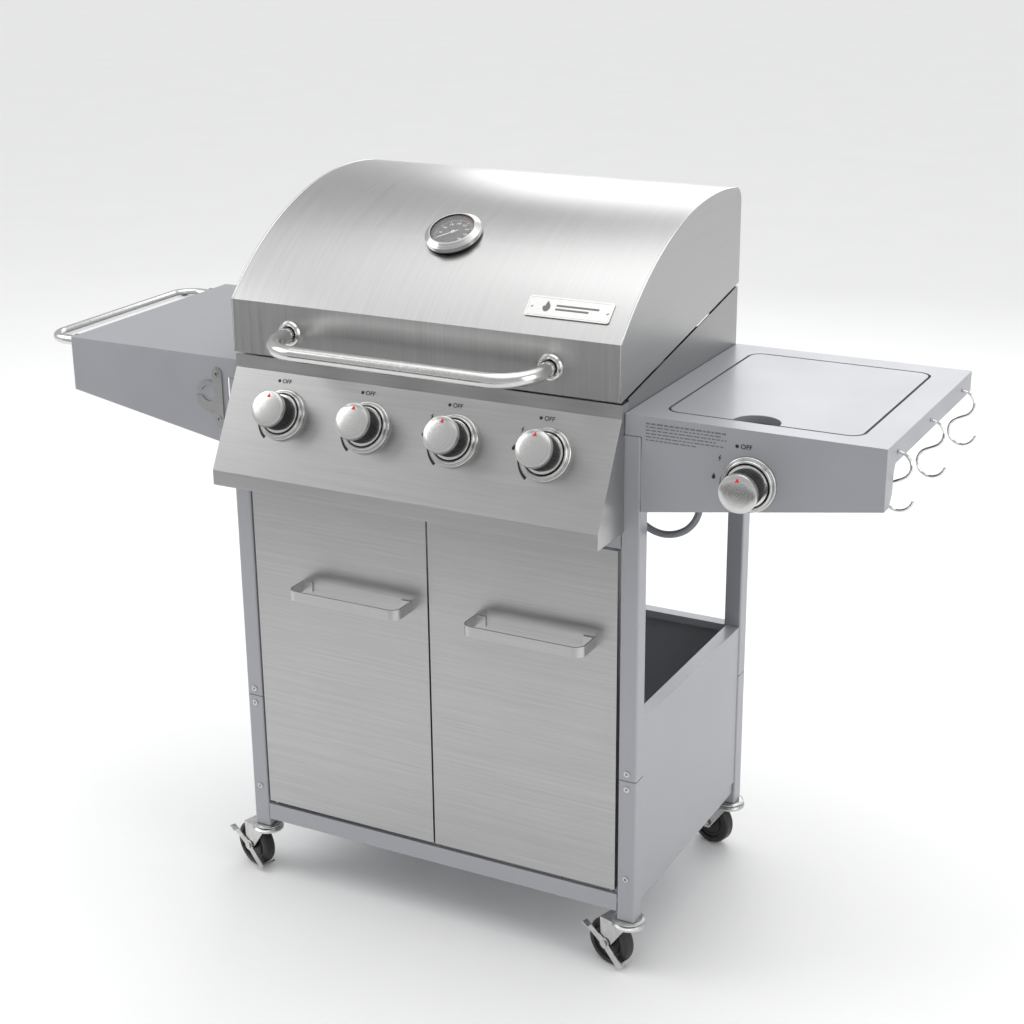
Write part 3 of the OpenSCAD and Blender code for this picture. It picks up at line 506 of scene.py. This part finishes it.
def make_knob(i, at, body, node):
    tag = f"knob_{i}"
    centre, axis = at.translation, at.to_3x3() @ Vector((0, 0, 1))
    face = turned(f"{tag}_turned", (0.66, 0.66, 0.65), centre, axis, 0.24)
    cap = lathe(f"{tag}_cap", [(20, 37.6), (26.4, 37.6), (27, 38.2), (27, 43.2), (26.4, 44.8), (25, 45.6), (18, 46.7),
                               (9, 47.2), (0, 47.4)], face, body, at)
    # Ribbed skirt: four points to a rib, two of them in the groove
    ribs, grip_r, groove, rings = 44, 25.7, 1.1, []
    for z, shrink in ((12, 0.6), (13, 0), (36.5, 0), (37.6, 0.5)):
        ring = []
        for k in range(ribs * 4):
            r, a = grip_r - shrink - (groove if k % 4 in (0, 1) else 0), 2 * PI * k / (ribs * 4)
            ring.append((r * math.cos(a), r * math.sin(a), z))
        rings.append(ring)
    v, f = ring_mesh(rings)
    mesh(f"{tag}_grip", v, f, M["black"], body, at, 20)
    lathe(f"{tag}_collar", [(4.2, 6), (28, 6), (29.2, 6.6), (29.5, 7.6), (29.5, 10), (28.8, 11.4), (27, 12),
                            (4.2, 12)], M["chrome"], body, at, loop=True)
    prism(f"{tag}_pointer", [[(-3.4, 16.6), (3.4, 16.6), (0, 22.4)]], 46.2, 46.95, M["red"], body, at)
    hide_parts(node)


for i, x in enumerate(KNOB_X, 1):
    make_knob(i, panel_frame(x), f"knob_{i}", f"knob_{i}")
make_knob(5, SIDE_KNOB, "side_knob", "side_knob")


def make_bezels():
    """The bezels: a brushed dish, a bright inner lip and a black well behind each knob."""
    frames = [panel_frame(x) for x in KNOB_X] + [SIDE_KNOB]
    first = None
    for i, at in enumerate(frames, 1):
        centre, axis = at.translation, at.to_3x3() @ Vector((0, 0, 1))
        metal = turned(f"bezel_{i}_turned", (0.6, 0.6, 0.59), centre, axis, 0.2)
        dish = lathe(f"bezel_{i}_dish", [(31.6, 0.1), (38.5, 0.1), (38.5, 3.6), (37.6, 5), (36.4, 5.5), (35.3, 5.5),
                                         (34.9, 6.2), (34.4, 8.6), (33.4, 9.8), (32.4, 10), (31.4, 9.4), (31, 8.6),
                                         (31, 2), (31.3, 0.1)], metal, "cart", at, 96, 40, True)
        lathe(f"bezel_{i}_well", [(8, 0.1), (30.9, 0.1), (30.9, 7.6), (30.4, 7.6), (30.2, 2), (8, 2)],
              M["black"], "cart", at, 72, 35, True)
        first = first or dish
    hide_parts("knob_bezels")


make_bezels()

# Outlines of the printed symbols, in mm
FLAME = [(0, 5.2), (1.2, 3.4), (2.6, 1.4), (3.0, -0.8), (2.4, -2.8), (1.0, -4.2), (-1.0, -4.2), (-2.4, -2.8),
         (-3.0, -0.8), (-2.2, 1.0), (-1.2, 0.2), (-1.1, 2.4)]
BOLT = [(1.4, 5), (-2.4, 0.2), (-0.2, 0.2), (-1.6, -5), (2.6, 0.9), (0.4, 0.9), (2.2, 5)]


def disc(x, y, r, n=24):
    return [(x + r * math.cos(2 * PI * k / n), y + r * math.sin(2 * PI * k / n)) for k in range(n)]


def moved(outline, x, y, k=1.0):
    return [(x + px * k, y + py * k) for px, py in outline]


def wedge(r, a1, a2, wide, n=26):
    """Crescent outside the bezel that widens from a1 to a2 and then closes."""
    inner = [(r * math.cos(math.radians(a1 + (a2 - a1) * k / n)), r * math.sin(math.radians(a1 + (a2 - a1) * k / n)))
             for k in range(n + 1)]
    outer = []
    for k in range(n, -1, -1):
        a = math.radians(a1 + (a2 - a1) * k / n)
        w = wide * (k / n) ** 0.8 if k < n else wide * 0.96
        outer.append(((r + w) * math.cos(a), (r + w) * math.sin(a)))
    return inner + outer[:-1]


def print_marks(i, at, symbols):
    """The print round a knob: OFF and its dot, the crescent and, where they belong, the two symbols."""
    marks = [disc(-19, 50, 2.5), wedge(41, 172, 238, 4.6)]
    if symbols:
        marks += [moved(BOLT, -43, 30, 0.95), moved(FLAME, -51, 4, 0.9)]
    prism(f"marks_{i}", marks, 0.06, 0.22, M["ink"], "cart", at)
    lettering(f"off_{i}", "OFF", 9.2, M["ink"], "cart", shift(at, -14, 50, 0.12))


for i, x in enumerate(KNOB_X, 1):
    print_marks(i, panel_frame(x), i > 2)
print_marks(5, SIDE_KNOB, True)


def note_lines():
    """Rows of short grey dashes where the apron carries small print."""
    rows = []
    for row, end in enumerate((462, 455, 463, 448, 459, 420)):
        x = 347.0
        while x < end:
            w = random.uniform(3.0, 9.5)
            w = min(w, end - x)
            h = 0.9 if row else 1.3
            z = 870 - row * 4.6
            rows.append([(x, z - h), (x + w, z - h), (x + w, z + h), (x, z + h)])
            x += w + 1.6
    at = local_frame(P(0, 0, 0), (0, -1, 0))
    prism("small_print", rows, 0.05, 0.15, M["grey_ink"], "cart", at)


note_lines()

# ---------------------------------------------------------------- hood details
HOOD_R = 467                                # radius and centre of the curved skin, in mm
HOOD_CY, HOOD_CZ = 330, 659.537


def hood_frame(x, lean):
    a = math.radians(lean)
    out = Vector((0, -math.sin(a), math.cos(a)))
    return local_frame(P(x, HOOD_CY, HOOD_CZ) + out * HOOD_R / 1000, out)


def make_gauge():
    at = hood_frame(-6, 27.8)
    centre, axis = at.translation, at.to_3x3() @ Vector((0, 0, 1))
    metal = turned("gauge_turned", (0.64, 0.64, 0.63), centre, axis, 0.2)
    dress("thermometer_case", metal)
    lathe("gauge_gasket", [(37.4, 0.4), (40.4, 0.4), (40.8, 2), (40.4, 3.8), (37.4, 3.8)], M["black"], "hood",
          at, loop=True)
    lathe("gauge_dial", [(0, 7.1), (32.7, 7.1), (32.7, 7.5), (0, 7.6)], M["dial"], "hood", at)
    lathe("gauge_wall", [(32.2, 7.1), (32.9, 7.1), (32.9, 14.9), (32.2, 14.9)], M["black"], "hood", at,
          loop=True)
    # The scale runs clockwise from its cold end through its whole span, in degrees
    cold, span, steps = 218, 256, 40
    ticks = []
    for k in range(steps + 1):
        a = math.radians(cold - k * span / steps)
        r1 = 24.6 if k % 5 == 0 else 26.6
        w = 0.42 if k % 5 == 0 else 0.24
        c, s = math.cos(a), math.sin(a)
        ticks.append([(r1 * c - w * s, r1 * s + w * c), (r1 * c + w * s, r1 * s - w * c),
                      (29.6 * c + w * s, 29.6 * s - w * c), (29.6 * c - w * s, 29.6 * s + w * c)])
    prism("gauge_ticks", ticks, 7.5, 7.75, M["white"], "hood", at)
    band = []
    for k in range(25):
        a1, a2 = (math.radians(cold - (span / 2 + j * 3.2)) for j in (k, k + 1))
        band.append([(31.6 * math.cos(a1), 31.6 * math.sin(a1)), (31.6 * math.cos(a2), 31.6 * math.sin(a2)),
                     (30.6 * math.cos(a2), 30.6 * math.sin(a2)), (30.6 * math.cos(a1), 30.6 * math.sin(a1))])
    prism("gauge_band", band, 7.5, 7.72, M["red"], "hood", at)
    for k in range(9):
        a = math.radians(cold - k * span / 8)
        lettering(f"gauge_number_{k}", str(50 * k), 4.6, M["white"], "hood",
                  shift(at, 20.2 * math.cos(a), 20.2 * math.sin(a), 7.65), "CENTER")
    lathe("gauge_glass", [(0, 12.6), (32.1, 12.6), (32.1, 13.4), (0, 13.7)], M["glass"], "hood", at)
    # Hub cap of the needle
    lathe("needle_hub", [(0, 9.3), (3.0, 9.3), (3.0, 10.1), (2.2, 10.8), (0, 11)], M["chrome"], "needle", at)


make_gauge()


def make_plate():
    at = hood_frame(223, 41.6)
    bars = [[(-20, 4.6), (44, 4.6), (44, 1.6), (-20, 1.6)], [(-20, -1.6), (30, -1.6), (30, -4.6), (-20, -4.6)]]
    prism("plate_motif", [moved(FLAME, -34, 0, 1.9)] + bars, 1.92, 2.1, M["grey_ink"], "hood", at)
    rim = []
    for sx, sy in ((1, 1), (-1, 1), (-1, -1), (1, -1)):
        for k in range(5):
            a = math.atan2(sy, sx) - PI / 4 + k * PI / 8
            rim.append((sx * 58.5 + 3.2 * math.cos(a), sy * 11.5 + 3.2 * math.sin(a)))
    n = len(rim)
    verts = [(x, y, 1.9) for x, y in rim] + [(x * 0.988, y * 0.95, 1.9) for x, y in rim]
    verts += [(x, y, 2.15) for x, y in rim] + [(x * 0.988, y * 0.95, 2.15) for x, y in rim]
    faces = []
    for k in range(n):
        j = (k + 1) % n
        faces += [(2 * n + k, 2 * n + j, 3 * n + j, 3 * n + k), (k, j, 2 * n + j, 2 * n + k),
                  (3 * n + k, 3 * n + j, n + j, n + k), (n + k, n + j, j, k)]
    mesh("plate_rim", verts, faces, M["satin"], "hood", at, 0)


make_plate()


def make_seams():
    """A rolled bead where each end cap meets the hood skin."""
    front, rear, bead_r = -11.2, 391, HOOD_R - 1.1      # ends of the curve, and its radius
    corner_y, corner_z, corner_r, lean = 392, 1098.4, 22.8, 82
    for x, name in ((-314.4, "left"), (314.4, "right")):
        pts = [(x, front, 899.5), (x, front, 976.6)]
        for k in range(41):
            y = front + (rear - front) * k / 40
            pts.append((x, y, 659.54 + math.sqrt(bead_r ** 2 - (y - HOOD_CY) ** 2)))
        for k in range(1, 10):
            a = math.radians(lean - k * lean / 9)
            pts.append((x, corner_y + corner_r * math.cos(a), corner_z + corner_r * math.sin(a)))
        pts.append((x, corner_y + corner_r, 978))
        tube(f"hood_seam_{name}", pts, 1.5, M["satin"], "hood")


make_seams()


# ---------------------------------------------------------------- screws, fittings, small hardware
def make_screw_heads_and_recess_shade():
    """Domed heads on the leg screws, and black crosses on all screw heads: painted shade that stands in for their
    cross recesses.
    """
    w, r = 0.5, 2.4                         # half width and reach of the cross
    cross = [(-w, -r), (w, -r), (w, -w), (r, -w), (r, w), (w, w), (w, r), (-w, r), (-w, w), (-r, w), (-r, -w),
             (-w, -w)]
    n = 0
    for x in (-LEG_X, LEG_X):
        for z in (312, 337, 163):
            for y, out in ((-1.8, -1), (439.8, 1)):
                at = local_frame(P(x, y, z), (0, out, 0))
                lathe(f"screw_head_{n}", [(4.5, -1.7), (4.5, -0.8), (3.9, -0.1), (2.8, 0.25), (0, 0.3)],
                      M["zinc"], "cart", at, 28)
                # Raised black cross: painted shade standing in for the screw's cross recess
                prism(f"screw_recess_shade_{n}", [cross], 0.2, 0.36, M["ink"], "cart", shift(at, 0, 0, 0, n * 0.7))
                n += 1
    # Black crosses on the front apron screws: painted shade standing in for their recesses
    for z in (783, 854):
        at = local_frame(P(-359.5, -4.3, z), (0, -1, 0))
        prism(f"screw_recess_shade_{n}", [cross], 0.0, 0.14, M["ink"], "cart", at)
        n += 1


make_screw_heads_and_recess_shade()


def hexagon(r):
    return [(r * math.cos(PI / 3 * k), r * math.sin(PI / 3 * k)) for k in range(6)]


def make_fittings():
    """Nuts and crimped ferrules at both ends of the hose."""
    ends = ((P(285, -8, 736), (0, -1, 0), "start"), (P(404, 60, 776), (0, 0, 1), "end"))
    for place, axis, tag in ends:
        at = local_frame(place, axis)
        lathe(f"hose_ferrule_{tag}", [(5.05, -17), (6.2, -17), (6.6, -16.2), (6.6, -12), (6.2, -11.4), (6.6, -10.8),
                                      (6.6, -6), (6.9, -5), (6.9, -0.4), (5.05, -0.4)], M["zinc"], "cart",
              at, 40, 30, True)
        prism(f"hose_nut_{tag}", [hexagon(9.4)], 0.3, 9.5, M["brass"], "cart", at, 0.5)


make_fittings()


def make_electrodes():
    """Ceramic spark electrodes beside the burners, and rows and a ring of black discs on the burners: painted shade
    that stands in for the dark of the flame-port openings.
    """
    for i, x in enumerate(KNOB_X):
        at = local_frame(P(x + 26, 52, 786), (0, 0.2, 1))
        lathe(f"electrode_{i}", [(2.6, 0), (3, 0.4), (3, 17), (2.2, 18.5), (0.9, 18.6), (0.9, 24), (0, 24)],
              M["ceramic"], "cart", at, 24)
        # Black discs on the main burner tops: painted shade standing in for the dark of the flame-port openings
        port_shade = []
        for k in range(56):
            for side in (-1, 1):
                port_shade.append(disc(side * 9, 66 + k * 5.4, 1.05, 8))
        flat = Matrix.Translation(P(x, 0, 804.55))
        prism(f"ports_{i}", port_shade, 0.0, 0.12, M["ink"], "cart", flat)
    at = local_frame(P(497, 205, 0), (0, 0, 1))
    # Ring of black discs on the side burner: painted shade standing in for the dark of its flame-port openings
    port_shade_discs = []
    for k in range(36):
        a = 2 * PI * k / 36
        port_shade_discs.append(disc(36.5 * math.cos(a), 36.5 * math.sin(a), 1.5, 8))
    prism("side_burner_port_shade", port_shade_discs, 848.02, 848.2, M["ink"], "cart", at)
    lathe("side_burner_cap", [(0, 848.1), (30, 848.1), (31, 849), (29, 851.6), (12, 852.6), (0, 852.7)], M["iron"],
          "cart", at)


make_electrodes()


def make_wheels():
    """Hub discs and a raised ring on each face of each wheel."""
    turn, trail, wheel_r = math.radians(17), 34, 38
    axle = Vector((-math.sin(turn), -math.cos(turn), 0))
    for x, side in ((-LEG_X, "left"), (LEG_X, "right")):
        for y, end in ((LEG_FRONT_Y, "front"), (LEG_REAR_Y, "rear")):
            centre = P(x - trail * math.cos(turn), y + trail * math.sin(turn), wheel_r)
            at = local_frame(centre, axle, (1, 0, 0))
            body = f"wheel_{end}_{side}"
            for s in (-1, 1):
                face = at @ Matrix.Rotation(0 if s > 0 else PI, 4, "X")
                lathe(f"hub_{end}_{side}_{s + 1}", [(3.7, 7.05), (8.8, 7.05), (8.8, 11.1), (8.2, 11.6), (3.7, 11.6)],
                      M["black"], body, face, 40, 35, True)
                lathe(f"rim_{end}_{side}_{s + 1}", [(20.5, 7.02), (22.5, 7.02), (22.2, 8.2), (21, 8.2)],
                      M["tyre"], body, face, 56, 35, True)


make_wheels()


# ---------------------------------------------------------------- stage and light
def make_stage():
    data = bpy.data.meshes.new("floor")
    half = 40.0
    data.from_pydata([(-half, -half, 0), (half, -half, 0), (half, half, 0), (-half, half, 0)], [], [(0, 1, 2, 3)])
    floor = bpy.data.objects.new("floor", data)
    bpy.context.scene.collection.objects.link(floor)
    floor.location.z = -0.0005
    n = Nodes("floor_paint")
    n.set(rough=0.6, spec=0.2)
    n.join(n.ramp(n.noise(3, (1, 1, 1), 4), (0.885, 0.885, 0.885), (0.90, 0.90, 0.90)), n.shader.inputs["Base Color"])
    data.materials.append(n.mat)
    # A dark card lying out of view in front, which the upright steel faces mirror
    card = bpy.data.meshes.new("dark_card")
    card.from_pydata([(-3.6, -4.2, 0.02), (1.6, -4.2, 0.02), (1.6, -1.75, 0.02), (-3.6, -1.75, 0.02)], [],
                     [(0, 1, 2, 3)])
    flag = bpy.data.objects.new("dark_card", card)
    bpy.context.scene.collection.objects.link(flag)
    flag.visible_camera = False
    flag.visible_diffuse = False
    flag.visible_shadow = False
    card.materials.append(M["inside"])


def area(name, place, target, size, power, colour=(1, 1, 1)):
    data = bpy.data.lights.new(name, "AREA")
    data.shape = "RECTANGLE"
    data.size, data.size_y = size
    data.energy = power
    data.color = colour
    obj = bpy.data.objects.new(name, data)
    bpy.context.scene.collection.objects.link(obj)
    obj.location = place
    obj.rotation_euler = (Vector(target) - Vector(place)).to_track_quat("-Z", "Y").to_euler()


make_stage()
area("key", (-3.3, -1.4, 3.0), (0, 0, 0.6), (2.6, 2.2), 46)
area("top", (0.3, 0.6, 3.4), (0, 0, 0.8), (2.6, 2.6), 14)
area("right", (3.2, -0.4, 1.8), (0, 0, 0.7), (1.6, 2.4), 26)
area("back", (-0.6, 3.2, 2.4), (0, 0, 0.8), (2.4, 1.8), 26)

sun = bpy.data.lights.new("overhead", "SUN")
sun.energy = 1.05
sun.angle = math.radians(70)
bpy.context.scene.collection.objects.link(bpy.data.objects.new("overhead", sun))

world = bpy.data.worlds.new("studio")
world.use_nodes = True
# Camera rays see a plain tone that matches the far floor; all other rays see the soft light
sky = world.node_tree
soft = sky.nodes["Background"]
soft.inputs["Color"].default_value = (0.93, 0.935, 0.94, 1)
soft.inputs["Strength"].default_value = 0.62
plain = sky.nodes.new("ShaderNodeBackground")
plain.inputs["Color"].default_value = (0.79, 0.79, 0.79, 1)
plain.inputs["Strength"].default_value = 1.0
seen = sky.nodes.new("ShaderNodeLightPath")
pick = sky.nodes.new("ShaderNodeMixShader")
sky.links.new(seen.outputs["Is Camera Ray"], pick.inputs[0])
sky.links.new(soft.outputs[0], pick.inputs[1])
sky.links.new(plain.outputs[0], pick.inputs[2])
sky.links.new(pick.outputs[0], sky.nodes["World Output"].inputs["Surface"])
bpy.context.scene.world = world
bpy.context.scene.view_settings.view_transform = "Standard"
bpy.context.scene.view_settings.look = "None"
